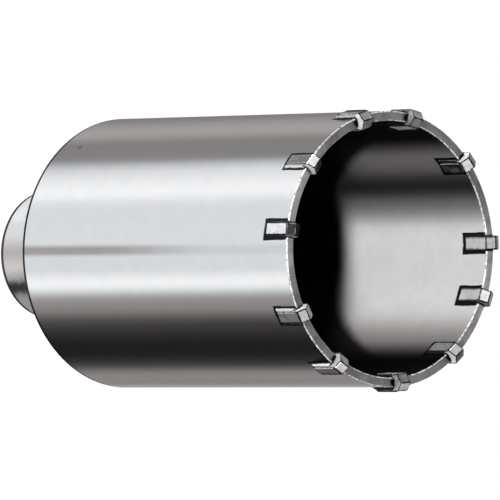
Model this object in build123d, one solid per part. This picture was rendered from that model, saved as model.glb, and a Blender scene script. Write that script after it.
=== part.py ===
from build123d import *
import os

# A core bit for percussion drilling: a steel barrel with carbide tips brazed into slots in its rim, and a
# turned hub, tapped for the machine's arbor, welded into its back end.
# Millimetres. The bit's axis is +Z with the cutting end up, and the origin is the centre of the hub's back
# face, which the bit stands on.

# Barrel, a length of tube
BARREL_DIAMETER = 66.0
BARREL_WALL = 2.3
BARREL_LENGTH = 98.5
RIM_OUTER_CHAMFER = 0.3
RIM_INNER_CHAMFER = 0.3
BARREL_BACK_CHAMFER = 0.3

# Hub: a boss behind the barrel and a disc that closes the barrel's back end
BOSS_DIAMETER = 31.5
BOSS_LENGTH = 29.5
BOSS_BACK_CHAMFER = 0.5
BOSS_ROOT_RADIUS = 1.5
HUB_DISC_THICKNESS = 8.0
HUB_DISC_CHAMFER = 0.6

# Tapped hole through the hub, M16 by 2: the wall is the thread's minor diameter
THREAD_MINOR_DIAMETER = 13.835
THREAD_LEAD_CHAMFER = 1.3

# Weld that holds the disc in the barrel: a V groove in the back face, filled to a low crown
WELD_GROOVE_LEG = 0.8
WELD_CROWN = 0.25

# Carbide tips: blocks with a roof ground on the cutting end, its ridge along the rim
TIP_WIDTH = 3.2
TIP_OUTER_STAND = 1.0
TIP_INNER_STAND = 0.9
TIP_SEATED_LENGTH = 6.9
TIP_EAVE_HEIGHT = 0.7
TIP_ROOF_HEIGHT = 1.4
TIP_RIDGE_INSET = 2.0
TIP_EDGE_CHAMFER = 0.15

# The tips are set by hand and stand unevenly round the rim, as degrees from +X towards +Y
TIP_AZIMUTHS = (4, 38, 68, 92, 130, 166, 195, 230, 261, 298, 328)

# Braze round each tip: it fills the gap in the slot and climbs the tip as a fillet on both sides of the wall
BRAZE_GAP = 0.4
BRAZE_BEAD_WIDTH = 0.35
BRAZE_BEAD_HEIGHT = 0.7

# A chamfer or groove takes no more than this share of the wall that it is cut in
LARGEST_CUT_SHARE = 1 / 3

# Cutters run this far past what they cut, and beads start this far under the surface that they stand on
CUTTER_OVERRUN = 1.0
BEAD_ROOT = 0.2

barrel_radius = BARREL_DIAMETER / 2
bore_radius = barrel_radius - BARREL_WALL
boss_radius = BOSS_DIAMETER / 2
thread_radius = THREAD_MINOR_DIAMETER / 2
back_height = BOSS_LENGTH
rim_height = BOSS_LENGTH + BARREL_LENGTH
slot_bottom = rim_height - TIP_SEATED_LENGTH - BRAZE_GAP
slot_width = TIP_WIDTH + 2 * BRAZE_GAP


def within_wall(cut):
    """The size of a cut in the barrel's edge, held to its share of the wall."""
    return min(cut, BARREL_WALL * LARGEST_CUT_SHARE)


def turned(outline):
    """A solid turned about Z from its half section, an outline in the plane of radius and height."""
    section = Plane.XZ * make_face(outline)
    return revolve(section, Axis.Z)


def barrel_blank():
    """The tube before its slots are cut, with chamfered edges and its half of the weld groove."""
    rim_outer = within_wall(RIM_OUTER_CHAMFER)
    rim_inner = within_wall(RIM_INNER_CHAMFER)
    back_outer = within_wall(BARREL_BACK_CHAMFER)
    groove = within_wall(WELD_GROOVE_LEG)
    return turned(
        Polyline(
            (bore_radius + groove, back_height),
            (barrel_radius - back_outer, back_height),
            (barrel_radius, back_height + back_outer),
            (barrel_radius, rim_height - rim_outer),
            (barrel_radius - rim_outer, rim_height),
            (bore_radius + rim_inner, rim_height),
            (bore_radius, rim_height - rim_inner),
            (bore_radius, back_height + groove),
            close=True,
        )
    )


def slot_cutter():
    """What one slot takes out of the rim, at azimuth 0."""
    reach = BARREL_WALL + 2 * CUTTER_OVERRUN
    height = rim_height + CUTTER_OVERRUN - slot_bottom
    corner = (bore_radius - CUTTER_OVERRUN, 0, slot_bottom)
    return Pos(*corner) * Box(reach, slot_width, height, align=(Align.MIN, Align.CENTER, Align.MIN))


def make_barrel(blank):
    """The tube with a slot for each tip."""
    slots = [Rot(0, 0, azimuth) * slot_cutter() for azimuth in TIP_AZIMUTHS]
    return blank - slots


def make_hub():
    """Boss and disc in one turned piece, drilled and tapped right through."""
    groove = within_wall(WELD_GROOVE_LEG)
    front = back_height + HUB_DISC_THICKNESS
    hub = turned(
        Polyline(
            (thread_radius + THREAD_LEAD_CHAMFER, 0),
            (boss_radius - BOSS_BACK_CHAMFER, 0),
            (boss_radius, BOSS_BACK_CHAMFER),
            (boss_radius, back_height),
            (bore_radius - groove, back_height),
            (bore_radius, back_height + groove),
            (bore_radius, front - HUB_DISC_CHAMFER),
            (bore_radius - HUB_DISC_CHAMFER, front),
            (thread_radius + THREAD_LEAD_CHAMFER, front),
            (thread_radius, front - THREAD_LEAD_CHAMFER),
            (thread_radius, THREAD_LEAD_CHAMFER),
            close=True,
        )
    )
    circles = hub.edges().filter_by(GeomType.CIRCLE)
    at_back = circles.filter_by_position(Axis.Z, back_height, back_height)
    root = at_back.sort_by(SortBy.RADIUS)[0]
    return fillet(root, BOSS_ROOT_RADIUS)


def make_hub_weld():
    """The ring of weld in the groove between disc and barrel."""
    groove = within_wall(WELD_GROOVE_LEG)
    inner = (bore_radius - groove, back_height)
    root = (bore_radius, back_height + groove)
    outer = (bore_radius + groove, back_height)
    crown = (bore_radius, back_height - WELD_CROWN)
    return turned(Polyline(inner, root, outer) + ThreePointArc(outer, crown, inner))


def make_tip():
    """One carbide tip at azimuth 0: a block through the wall, with two facets that meet in a ridge."""
    inner = bore_radius - TIP_INNER_STAND
    outer = barrel_radius + TIP_OUTER_STAND
    seat = rim_height - TIP_SEATED_LENGTH
    eave = rim_height + TIP_EAVE_HEIGHT
    side = make_face(
        Polyline(
            (inner, seat),
            (outer, seat),
            (outer, eave),
            (outer - TIP_RIDGE_INSET, eave + TIP_ROOF_HEIGHT),
            (inner, eave),
            close=True,
        )
    )
    block = extrude(Plane.XZ * side, amount=TIP_WIDTH / 2, both=True)
    return chamfer(block.edges().filter_by(Axis.Z), TIP_EDGE_CHAMFER)


def bead(surface_radius, outwards):
    """A tapered pad of braze on the barrel's outer or inner surface at azimuth 0, before the tip is cut out."""
    width = slot_width + 2 * BRAZE_BEAD_WIDTH
    bottom = slot_bottom - BRAZE_BEAD_WIDTH
    top = rim_height - within_wall(RIM_OUTER_CHAMFER)
    start = surface_radius - outwards * BEAD_ROOT
    foot = Plane(origin=(start, 0, (bottom + top) / 2), x_dir=(0, 1, 0), z_dir=(outwards, 0, 0))
    foot_width = width + 2 * BEAD_ROOT
    foot_length = top - bottom + 2 * BEAD_ROOT
    return extrude(foot * Rectangle(foot_width, foot_length), amount=BEAD_ROOT + BRAZE_BEAD_HEIGHT, taper=45)


def make_braze(blank, tip):
    """The braze that holds one tip, at azimuth 0."""
    filler = slot_cutter() & blank
    outer_bead = bead(barrel_radius, 1)
    inner_bead = bead(bore_radius, -1)
    return filler + ((outer_bead + inner_bead) - blank) - tip


def save(solid, node):
    """Writes one node's solid under the node's name."""
    solid.label = node
    export_step(solid, f"parts/{node}.step")


def main():
    os.makedirs("parts", exist_ok=True)
    blank = barrel_blank()
    tip = make_tip()
    braze = make_braze(blank, tip)
    save(make_barrel(blank), "barrel")
    save(make_hub(), "hub")
    save(make_hub_weld(), "hub_weld")
    for number, azimuth in enumerate(TIP_AZIMUTHS, start=1):
        turn = Rot(0, 0, azimuth)
        save(turn * tip, f"carbide_tip_{number:02d}")
        save(turn * braze, f"braze_seam_{number:02d}")


main()
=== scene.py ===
# %% [markdown]
# # A core bit for percussion drilling
# The bit is a cup of steel tube. Carbide tips are brazed into slots in its rim, and a threaded hub closes its
# back end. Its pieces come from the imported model, which is the fixed frame: nothing in it is moved here. This
# lesson gives each piece its finish, and remakes the pieces whose real form is finer than the frame's.

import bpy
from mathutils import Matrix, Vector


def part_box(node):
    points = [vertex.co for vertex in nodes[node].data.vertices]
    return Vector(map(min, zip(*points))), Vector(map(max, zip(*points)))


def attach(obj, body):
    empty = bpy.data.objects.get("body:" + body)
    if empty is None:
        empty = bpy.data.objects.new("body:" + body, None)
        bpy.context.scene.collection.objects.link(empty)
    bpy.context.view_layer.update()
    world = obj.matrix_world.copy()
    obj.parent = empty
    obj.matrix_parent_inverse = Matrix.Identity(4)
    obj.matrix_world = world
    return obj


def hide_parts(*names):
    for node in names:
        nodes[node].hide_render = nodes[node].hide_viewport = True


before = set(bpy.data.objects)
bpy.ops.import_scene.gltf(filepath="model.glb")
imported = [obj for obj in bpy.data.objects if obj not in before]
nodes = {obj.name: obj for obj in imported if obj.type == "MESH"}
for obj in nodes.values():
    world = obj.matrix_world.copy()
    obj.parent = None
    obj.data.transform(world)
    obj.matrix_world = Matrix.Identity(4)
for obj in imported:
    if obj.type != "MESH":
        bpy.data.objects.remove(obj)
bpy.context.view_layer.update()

# %% Modules and units
import math
from collections import namedtuple

import bmesh
import bpy
import numpy as np
from mathutils import Matrix, Vector

MM = 0.001
print("1 mm is", MM, "m")

# %% [markdown]
# ## Camera
# The bit lies across the photograph with its mouth turned towards the camera. In the frame it stands upright,
# so the camera is rolled by a quarter turn: up in the picture is -X. A camera can be placed by eye, but then
# its angle never quite agrees. Here its place comes from four measures of the photograph: the angle between
# the bit's axis and the line of sight, a small roll, the pixel where the centre of the rim lies, and the
# scale there. The camera is far away with a long lens, because the two ends of the barrel look almost
# equally wide.

# %% Place the camera
IMAGE_SIZE = 500
SENSOR_WIDTH = 36.0
AXIS_TO_SIGHT = math.radians(40.71)
ROLL = math.radians(-0.9)
RIM_CENTRE = Vector((0, 0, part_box("barrel")[1].z))
RIM_CENTRE_PIXEL = (391.0, 249.1)
PIXELS_PER_METRE = 4189.0
CAMERA_DISTANCE = 2.6


def put(name, data):
    """A new object with this data, in the scene."""
    placed = bpy.data.objects.new(name, data)
    bpy.context.scene.collection.objects.link(placed)
    return placed


def camera_axes():
    """Right, down and forward of the camera, in the row frame."""
    right = Vector((0, math.cos(AXIS_TO_SIGHT), math.sin(AXIS_TO_SIGHT)))
    down = Vector((1, 0, 0))
    forward = Vector((0, math.sin(AXIS_TO_SIGHT), -math.cos(AXIS_TO_SIGHT)))
    rolled_right = math.cos(ROLL) * right - math.sin(ROLL) * down
    rolled_down = math.sin(ROLL) * right + math.cos(ROLL) * down
    return rolled_right, rolled_down, forward


def make_camera():
    """The photograph's camera."""
    right, down, forward = camera_axes()
    across = (RIM_CENTRE_PIXEL[0] - IMAGE_SIZE / 2) / PIXELS_PER_METRE
    below = (RIM_CENTRE_PIXEL[1] - IMAGE_SIZE / 2) / PIXELS_PER_METRE
    place = RIM_CENTRE - across * right - below * down - CAMERA_DISTANCE * forward
    data = bpy.data.cameras.new("camera")
    data.sensor_width = SENSOR_WIDTH
    data.lens = PIXELS_PER_METRE * CAMERA_DISTANCE / IMAGE_SIZE * SENSOR_WIDTH
    made = put("camera", data)
    turn = Matrix((right, -down, -forward)).transposed()
    made.matrix_world = Matrix.Translation(place) @ turn.to_4x4()
    bpy.context.scene.camera = made
    return made


camera = make_camera()
print("lens", round(camera.data.lens, 1), "mm, camera at", [round(v, 3) for v in camera.location])

# %% [markdown]
# ## Small helpers for node trees
# Every material is a tree of nodes. Trees are often drawn by hand in the shader editor, but a long formula is
# hard to follow there. These helpers add a node, or a sum of two values, in one line each, so that the
# materials below read like formulas. A value may be a number or another node's output.

# %% Nodes and sums
def add(tree, kind, **settings):
    """A new node of that kind, with its settings."""
    node = tree.nodes.new(kind)
    for name, value in settings.items():
        setattr(node, name, value)
    return node


def feed(tree, value, socket):
    """Gives a socket a number, or links it to an output."""
    if isinstance(value, bpy.types.NodeSocket):
        tree.links.new(value, socket)
    else:
        socket.default_value = value


def maths(tree, operation, first, second=0.0, clamp=False):
    """The output of one sum."""
    node = add(tree, "ShaderNodeMath", operation=operation, use_clamp=clamp)
    feed(tree, first, node.inputs[0])
    feed(tree, second, node.inputs[1])
    return node.outputs[0]


def plus(tree, first, second):
    """The sum of two values."""
    return maths(tree, "ADD", first, second)


def minus(tree, first, second):
    """The first value less the second."""
    return maths(tree, "SUBTRACT", first, second)


def times(tree, first, second):
    """The product of two values."""
    return maths(tree, "MULTIPLY", first, second)


def larger(tree, first, second):
    """The larger of two values."""
    return maths(tree, "MAXIMUM", first, second)


print("sums: plus, minus, times, larger")

# %% Steps, bands and mixes
# Where a mix node keeps the first socket of its pair of numbers, of its pair of colours, and its mixed colour
MIX_NUMBER_A = 2
MIX_COLOUR_A = 6
MIX_COLOUR_RESULT = 2


def step(tree, value, low, high, to_low=0.0, to_high=1.0):
    """A smooth change from to_low to to_high as value goes from low to high."""
    node = add(tree, "ShaderNodeMapRange", interpolation_type="SMOOTHSTEP")
    names = ("Value", "From Min", "From Max", "To Min", "To Max")
    for name, number in zip(names, (value, low, high, to_low, to_high)):
        feed(tree, number, node.inputs[name])
    return node.outputs["Result"]


def gap(tree, value, centre):
    """How far a value is from a centre."""
    return maths(tree, "ABSOLUTE", minus(tree, value, centre))


def band(tree, value, centre, half_width, core=0.0):
    """A soft band round a centre: 1 in its core, which is a share of its half width, and 0 at its edges."""
    return step(tree, gap(tree, value, centre), half_width, core * half_width)


def mix(tree, factor, first, second, blend="MIX"):
    """A mix of two colours."""
    node = add(tree, "ShaderNodeMix", data_type="RGBA", blend_type=blend)
    feed(tree, factor, node.inputs["Factor"])
    feed(tree, first, node.inputs[MIX_COLOUR_A])
    feed(tree, second, node.inputs[MIX_COLOUR_A + 1])
    return node.outputs[MIX_COLOUR_RESULT]


def multiply(tree, colour, factor, amount=1.0):
    """A colour darkened or tinted by another."""
    return mix(tree, amount, colour, factor, "MULTIPLY")


def mix_value(tree, factor, first, second):
    """A mix of two numbers."""
    node = add(tree, "ShaderNodeMix", data_type="FLOAT")
    feed(tree, factor, node.inputs["Factor"])
    feed(tree, first, node.inputs[MIX_NUMBER_A])
    feed(tree, second, node.inputs[MIX_NUMBER_A + 1])
    return node.outputs[0]


print("masks: step, gap, band; mixes: mix, multiply, mix_value")

# %% Places, noise and greys
NOISE_DETAIL = 3.0
NOISE_ROUGHNESS = 0.6
# A place told by its distance from the axis, its direction round Z as a cosine and a sine, and its height
Spot = namedtuple("Spot", "radius cosine sine height")


def split(tree, vector):
    """The three numbers of a vector."""
    axes = add(tree, "ShaderNodeSeparateXYZ")
    feed(tree, vector, axes.inputs[0])
    return axes.outputs


def combine(tree, x, y, z):
    """A vector of three numbers."""
    node = add(tree, "ShaderNodeCombineXYZ")
    for value, socket in zip((x, y, z), node.inputs):
        feed(tree, value, socket)
    return node.outputs[0]


def around_axis(tree, vector):
    """A place as seen from the bit's axis."""
    x, y, z = split(tree, vector)
    radius = maths(tree, "SQRT", plus(tree, times(tree, x, x), times(tree, y, y)))
    return Spot(radius, maths(tree, "DIVIDE", x, radius), maths(tree, "DIVIDE", y, radius), z)


def near_side(tree, spot):
    """1 on the side of -Y, which faces the camera, and 0 on the far side."""
    return maths(tree, "LESS_THAN", spot.sine, 0)


def noise(tree, vector):
    """The value of a noise with waves about one unit long, about 0.5."""
    node = add(tree, "ShaderNodeTexNoise")
    feed(tree, vector, node.inputs["Vector"])
    node.inputs["Scale"].default_value = 1.0
    node.inputs["Detail"].default_value = NOISE_DETAIL
    node.inputs["Roughness"].default_value = NOISE_ROUGHNESS
    return node.outputs["Fac"]


def named_value(tree, name):
    """A value that the mesh carries under that name."""
    return add(tree, "ShaderNodeAttribute", attribute_name=name).outputs["Fac"]


def grey(value, warmth=0.0):
    """A colour near grey, a little warmer or cooler."""
    return (value * (1 + warmth), value, value * (1 - warmth), 1.0)


print("a warm grey:", grey(0.5, 0.02))

# %% [markdown]
# ## Studio
# Polished steel shows its surroundings more than itself, so the studio is half of the finish. Product
# photographers stand a steel tube in a tent with light and dark panels, and the panels draw the bands that
# run along it. Area lamps could stand in for the panels, but each would need its own place and size, while a
# tent is one sphere whose colour says where the light is. The camera doesn't see it.
#
# Below the horizon the tent's brightness follows the compass alone, so that every band stays straight along
# the barrel. Cloth isn't one white: the dim panels are warm, plain cloth is a little cool and the softboxes
# are white, and the steel repeats those tints.

# %% The tent's panels
# Compass direction in degrees, from -Y towards -X, and brightness there
PANELS = (
    # Dim cloth behind the bit, on the side of +X, and the edge of a black flag
    (-180, 0.55), (-160, 0.6), (-148, 0.2), (-126, 0.41), (-121, 0.44), (-117, 0.17),
    # The black flag, and the spill of light beside it
    (-112, 0.0), (-80, 0.01), (-66, 0.06), (-57, 0.1), (-49, 0.35), (-37, 0.42),
    # A softbox, brightest at its outer edge, and plain cloth in front
    (-32, 1.07), (-27, 1.44), (-21, 1.26), (-15, 0.98), (15, 1.03), (43, 0.98),
    # A second softbox on the side of -X, which ends at a narrow flag
    (50, 1.41), (60, 1.28), (71, 1.12), (78, 1.03), (85, 0.02),
    # Two dim cloths with a gap between them, and the dark behind
    (95, 0.44), (107, 0.09), (114, 0.54), (122, 0.6), (140, 0.33), (156, 0.2),
)
# Brightness, and how far red and blue stand above green there
TINTS = (
    (0.0, 0.066, -0.018),
    (0.7, 0.066, -0.018),
    (1.0, -0.033, 0.036),
    (1.2, -0.005, 0.012),
    (1.4, 0.0, 0.01),
)
FULL_TURN = 360


def cloth_colour(level):
    """The colour of a panel of that brightness."""
    levels, reds, blues = zip(*TINTS)
    red = level * (1 + np.interp(level, levels, reds))
    blue = level * (1 + np.interp(level, levels, blues))
    return (red, level, blue, 1.0)


def panel_colours(tree, x, y):
    """The panels' colours, by the compass direction of a place."""
    compass = maths(tree, "ARCTAN2", times(tree, x, -1), times(tree, y, -1))
    turn = plus(tree, maths(tree, "DIVIDE", compass, 2 * math.pi), 0.5)
    ramp = add(tree, "ShaderNodeValToRGB")
    tree.links.new(turn, ramp.inputs[0])
    stops = ramp.color_ramp.elements
    for _ in range(len(PANELS) - len(stops)):
        stops.new(0.5)
    for stop, (degrees, level) in zip(stops, PANELS):
        stop.position = degrees / FULL_TURN + 0.5
        stop.color = cloth_colour(level)
    return ramp.outputs[0]


print("brightest panel", max(level for _, level in PANELS), "of", len(PANELS), "panel edges")

# %% [markdown]
# Overhead the tent has a lid. In front it is black, so that the cup falls off to black, and behind it is a
# dim grey, which the rim mirrors. The roofs ground on the tips are small mirrors, and each of them looks at
# its own spot of the lid. So small lamps hang in the black part, each where the roof of one tip shows it to
# the camera: the line of sight is reflected in that roof, as a billiard ball is by a cushion.

# %% Lamps for the roofs of the tips
# A tip's number, the side of its roof, and the brightness of the lamp that the roof shows
ROOF_LAMPS = (
    (8, "outer", 1.0), (10, "outer", 0.65), (11, "outer", 0.65),
    (3, "inner", 1.1), (2, "inner", 0.6), (4, "inner", 0.6), (5, "inner", 0.85),
)
# How far a direction is radial or upright, as a cosine, before a face counts as facing that way
FACES_WALL = 0.9
FACES_ROOF = 0.3
FACES_SIDE_UP = 0.1


def kind_of_face(centre, normal):
    """Which of a tip's large faces this is, from its place and its direction."""
    outwards = normal.dot(Vector((centre.x, centre.y, 0)).normalized())
    side = "outer" if outwards > 0 else "inner"
    if abs(outwards) > FACES_WALL:
        return side + " face"
    if abs(outwards) < FACES_ROOF and abs(normal.z) < FACES_SIDE_UP:
        return "side"
    return side + " roof" if normal.z > FACES_ROOF and abs(outwards) > FACES_ROOF else "other"


def lamp_direction(number, side):
    """Where the camera looks when it looks at a tip's roof as at a mirror."""
    faces = [
        face
        for face in nodes[f"carbide_tip_{number:02d}"].data.polygons
        if kind_of_face(face.center, face.normal) == side + " roof"
    ]
    area = sum(face.area for face in faces)
    middle = sum((face.center * face.area for face in faces), Vector()) / area
    return (middle - camera.location).normalized().reflect(faces[0].normal)


lamps = [(lamp_direction(number, side), level) for number, side, level in ROOF_LAMPS]
for direction, level in lamps:
    print("lamp of", level, "towards", [round(v, 3) for v in direction])

# %% The lid
TENT_RADIUS = 4.0
# Shares of the radius, towards +Y, between which the lid turns from black to grey
LID_BLACK_TO = 0.1
LID_GREY_FROM = 0.5
LID_GREY = grey(0.5)
LAMP_CORE = math.cos(math.radians(5.5))
LAMP_EDGE = math.cos(math.radians(8.5))


def lid_colours(tree, place, y):
    """The lid: black in front and grey behind, with the lamps in it."""
    behind = step(tree, maths(tree, "DIVIDE", y, TENT_RADIUS), LID_BLACK_TO, LID_GREY_FROM)
    lid = mix(tree, behind, grey(0), LID_GREY)
    outwards = add(tree, "ShaderNodeVectorMath", operation="NORMALIZE")
    tree.links.new(place, outwards.inputs[0])
    for direction, level in lamps:
        nearness = add(tree, "ShaderNodeVectorMath", operation="DOT_PRODUCT")
        tree.links.new(outwards.outputs[0], nearness.inputs[0])
        nearness.inputs[1].default_value = direction
        lid = mix(tree, step(tree, nearness.outputs["Value"], LAMP_EDGE, LAMP_CORE), lid, grey(level))
    return lid


print("lid with", len(lamps), "lamps")

# %% The tent
TENT_FINENESS = 4
# Sines of the heights between which the panels give way to the lid
LIT_BELOW = math.sin(math.radians(-32))
DARK_ABOVE = math.sin(math.radians(-14))


def emission_material(name):
    """A material of plain emission, its tree and its shader."""
    material = bpy.data.materials.new(name)
    material.use_nodes = True
    tree = material.node_tree
    tree.nodes.clear()
    shader = add(tree, "ShaderNodeEmission")
    output = add(tree, "ShaderNodeOutputMaterial")
    tree.links.new(shader.outputs[0], output.inputs["Surface"])
    return material, tree, shader


def make_tent():
    """The sphere of light and dark panels round the bit."""
    material, tree, shader = emission_material("tent_panels")
    place = add(tree, "ShaderNodeTexCoord").outputs["Object"]
    x, y, z = split(tree, place)
    overhead = step(tree, maths(tree, "DIVIDE", z, TENT_RADIUS), LIT_BELOW, DARK_ABOVE)
    shade = mix(tree, overhead, panel_colours(tree, x, y), lid_colours(tree, place, y))
    tree.links.new(shade, shader.inputs["Color"])
    shape = bmesh.new()
    bmesh.ops.create_icosphere(shape, subdivisions=TENT_FINENESS, radius=TENT_RADIUS)
    bmesh.ops.reverse_faces(shape, faces=shape.faces)
    mesh = bpy.data.meshes.new("tent")
    shape.to_mesh(mesh)
    shape.free()
    mesh.materials.append(material)
    material.cycles.emission_sampling = "NONE"
    made = put("tent", mesh)
    made.visible_camera = False
    return made


tent = make_tent()
print("tent with", len(tent.data.polygons), "faces")

# %% [markdown]
# The cup's far wall is lit by one long softbox that looks in over the near rim. Its height above the horizon
# sets how deep its light reaches: at 39 degrees it crosses the bore and ends halfway down, as in the
# photograph. It is a curved strip, because a straight one would stand lower at its ends. The cloth isn't lit
# evenly, so the bore has a bright stripe and dimmer ones, and the light's share is written on the strip's
# points: a mesh can carry such named values, and a material can read them.

# %% The softbox that lights the bore
STRIP_RADIUS = 1.2
# Its lower and upper edge above the horizon, as seen from the rim's centre
STRIP_HEIGHTS = (math.radians(36.8), math.radians(40.4))
STRIP_FROM = math.radians(-100)
STRIP_TO = math.radians(110)
STRIP_LEVEL = 68.0
STRIP_PARTS = 48
# Compass direction in degrees and share of the softbox's light
STRIP_CLOTH = (
    # A dim end, and a gap
    (-108, 0.0), (-98, 0.11), (-76, 0.16), (-64, 0.0), (-46, 0.0), (-41, 0.12), (-30, 0.19), (-24, 0.31),
    # The bright edge, and the even middle
    (-19, 1.42), (-12, 1.12), (-4, 1.0), (44, 1.0), (54, 1.1),
    # The other end, which fades
    (60, 0.85), (68, 0.46), (80, 0.22), (92, 0.18), (102, 0.0),
)
# Dim cloth is warm and bright cloth is cool, with the change between these two shares
DIM_CLOTH = (1.06, 1.0, 0.985, 1.0)
BRIGHT_CLOTH = (0.988, 1.0, 1.02, 1.0)
DIM_TO = 0.8
BRIGHT_FROM = 0.98


def softbox_cloth():
    """Cloth that glows by its share of the light."""
    material, tree, shader = emission_material("softbox_cloth")
    shader.inputs["Strength"].default_value = STRIP_LEVEL
    share = named_value(tree, "cloth")
    tint = mix(tree, step(tree, share, DIM_TO, BRIGHT_FROM), DIM_CLOTH, BRIGHT_CLOTH)
    shade = multiply(tree, tint, combine(tree, share, share, share))
    tree.links.new(shade, shader.inputs["Color"])
    return material


def make_strip():
    """A curved softbox on the near side, as a strip of a sphere."""
    compasses = [STRIP_FROM + (STRIP_TO - STRIP_FROM) * part / STRIP_PARTS for part in range(STRIP_PARTS + 1)]
    points = []
    for compass in compasses:
        for height in STRIP_HEIGHTS:
            level = STRIP_RADIUS * math.cos(height)
            rise = STRIP_RADIUS * math.sin(height)
            points.append(RIM_CENTRE + Vector((-level * math.sin(compass), -level * math.cos(compass), rise)))
    faces = [(2 * n, 2 * n + 1, 2 * n + 3, 2 * n + 2) for n in range(STRIP_PARTS)]
    mesh = bpy.data.meshes.new("bore_softbox")
    mesh.from_pydata(points, [], faces)
    shares = np.interp(np.degrees(compasses), *zip(*STRIP_CLOTH))
    rows = len(STRIP_HEIGHTS)
    mesh.attributes.new("cloth", "FLOAT", "POINT").data.foreach_set("value", np.repeat(shares, rows))
    mesh.materials.append(softbox_cloth())
    made = put("bore_softbox", mesh)
    made.visible_camera = False
    return made


strip = make_strip()
print("softbox from", [round(math.degrees(height), 1) for height in STRIP_HEIGHTS], "degrees high")

# %% [markdown]
# The photograph's background is plain white, and the bit has hardly a shadow. A white floor alone would turn
# grey where it is lit less, so most of what the camera sees of it is a plain white, and a small share is a
# lit surface, which keeps the bit's soft shadow. The world shows the same white, but gives only half as much
# light. The floor is left out of the steel's reflections, because the photograph's bit doesn't show it.

# %% World and floor
BACKGROUND = grey(1.035)
WORLD_LIGHT = grey(0.5)
FLOOR_SIZE = 12.0
FLOOR_COLOUR = grey(0.9)
FLOOR_ROUGHNESS = 0.9
FLOOR_SHADOW_SHARE = 0.08


def seen_share(tree):
    """1 for rays that show what lies behind, plainly, mirrored or through glass, and 0 for its light."""
    path = add(tree, "ShaderNodeLightPath").outputs
    seen = larger(tree, path["Is Camera Ray"], path["Is Glossy Ray"])
    return larger(tree, seen, path["Is Transmission Ray"])


def make_world():
    """A white world, which the camera sees behind the floor."""
    world = bpy.data.worlds.new("white_background")
    bpy.context.scene.world = world
    world.use_nodes = True
    tree = world.node_tree
    shade = mix(tree, seen_share(tree), WORLD_LIGHT, BACKGROUND)
    tree.links.new(shade, tree.nodes["Background"].inputs["Color"])


def make_floor():
    """The pale floor that the bit stands on."""
    material = bpy.data.materials.new("pale_floor")
    material.use_nodes = True
    tree = material.node_tree
    shader = tree.nodes["Principled BSDF"]
    shader.inputs["Base Color"].default_value = FLOOR_COLOUR
    shader.inputs["Roughness"].default_value = FLOOR_ROUGHNESS
    white = add(tree, "ShaderNodeEmission")
    white.inputs["Color"].default_value = BACKGROUND
    blend = add(tree, "ShaderNodeMixShader")
    tree.links.new(times(tree, seen_share(tree), 1 - FLOOR_SHADOW_SHARE), blend.inputs[0])
    tree.links.new(shader.outputs[0], blend.inputs[1])
    tree.links.new(white.outputs[0], blend.inputs[2])
    tree.links.new(blend.outputs[0], tree.nodes["Material Output"].inputs["Surface"])
    half = FLOOR_SIZE / 2
    corners = [(-half, -half, 0), (half, -half, 0), (half, half, 0), (-half, half, 0)]
    mesh = bpy.data.meshes.new("floor")
    mesh.from_pydata(corners, [], [(0, 1, 2, 3)])
    mesh.materials.append(material)
    made = put("floor", mesh)
    made.visible_glossy = False
    return made


make_world()
floor = make_floor()
print("floor", FLOOR_SIZE, "m wide")

# %% [markdown]
# ## Shared patterns
# A lathe leaves fine grooves that run round the part: along the wall they change with height, and on a flat
# face with radius. An image of scratches would have to be wrapped round each piece and would repeat. A noise
# needs neither. One node group makes that grain for every turned piece: it reads the distance along the
# section, and stretches a noise round the axis. It gives a slower tone of the same kind as well.

# %% The turned grain group
GROOVES_PER_METRE = 3500.0
GRAIN_REACH = 1.5
TONE_REACH = 2.5
TONE_SHARE = 0.05


def new_group(name, inputs, outputs):
    """A shader node group with its sockets, and its two end nodes."""
    group = bpy.data.node_groups.new(name, "ShaderNodeTree")
    group.interface.new_socket("Place", in_out="INPUT", socket_type="NodeSocketVector")
    for label, value in inputs:
        socket = group.interface.new_socket(label, in_out="INPUT", socket_type="NodeSocketFloat")
        socket.default_value = value
    for label in outputs:
        group.interface.new_socket(label, in_out="OUTPUT", socket_type="NodeSocketFloat")
    return group, add(group, "NodeGroupInput").outputs, add(group, "NodeGroupOutput").inputs


def ring_noise(tree, along, spot, reach):
    """A noise that is stretched into rings: it changes with along, and slowly round the axis."""
    return noise(tree, combine(tree, along, times(tree, spot.cosine, reach), times(tree, spot.sine, reach)))


def turned_grain_group():
    """Fine grooves round the axis, and a slower tone of the same kind."""
    numbers = [("Grooves per metre", GROOVES_PER_METRE)]
    group, given, out = new_group("turned_grain", numbers, ("Grain", "Tone"))
    spot = around_axis(group, given["Place"])
    along = times(group, minus(group, spot.height, spot.radius), given["Grooves per metre"])
    group.links.new(ring_noise(group, along, spot, GRAIN_REACH), out["Grain"])
    slow = times(group, along, TONE_SHARE)
    group.links.new(ring_noise(group, slow, spot, TONE_REACH), out["Tone"])
    return group


TURNED_GRAIN = turned_grain_group()
print("grain group with", len(TURNED_GRAIN.nodes), "nodes")

# %% [markdown]
# Handling and oil leave bare steel softly clouded, with small sharp specks. Both are noises again, cut off at
# different heights: a wide step leaves soft clouds, and a narrow one near the top leaves only the peaks.

# %% The mottling group
CLOUD_SIZE = 0.004
SPECK_SIZE = 0.0007
# Between these values the noise turns from nothing to a full cloud or speck
CLOUD_STEP = (0.35, 0.65)
SPECK_STEP = (0.68, 0.76)


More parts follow.
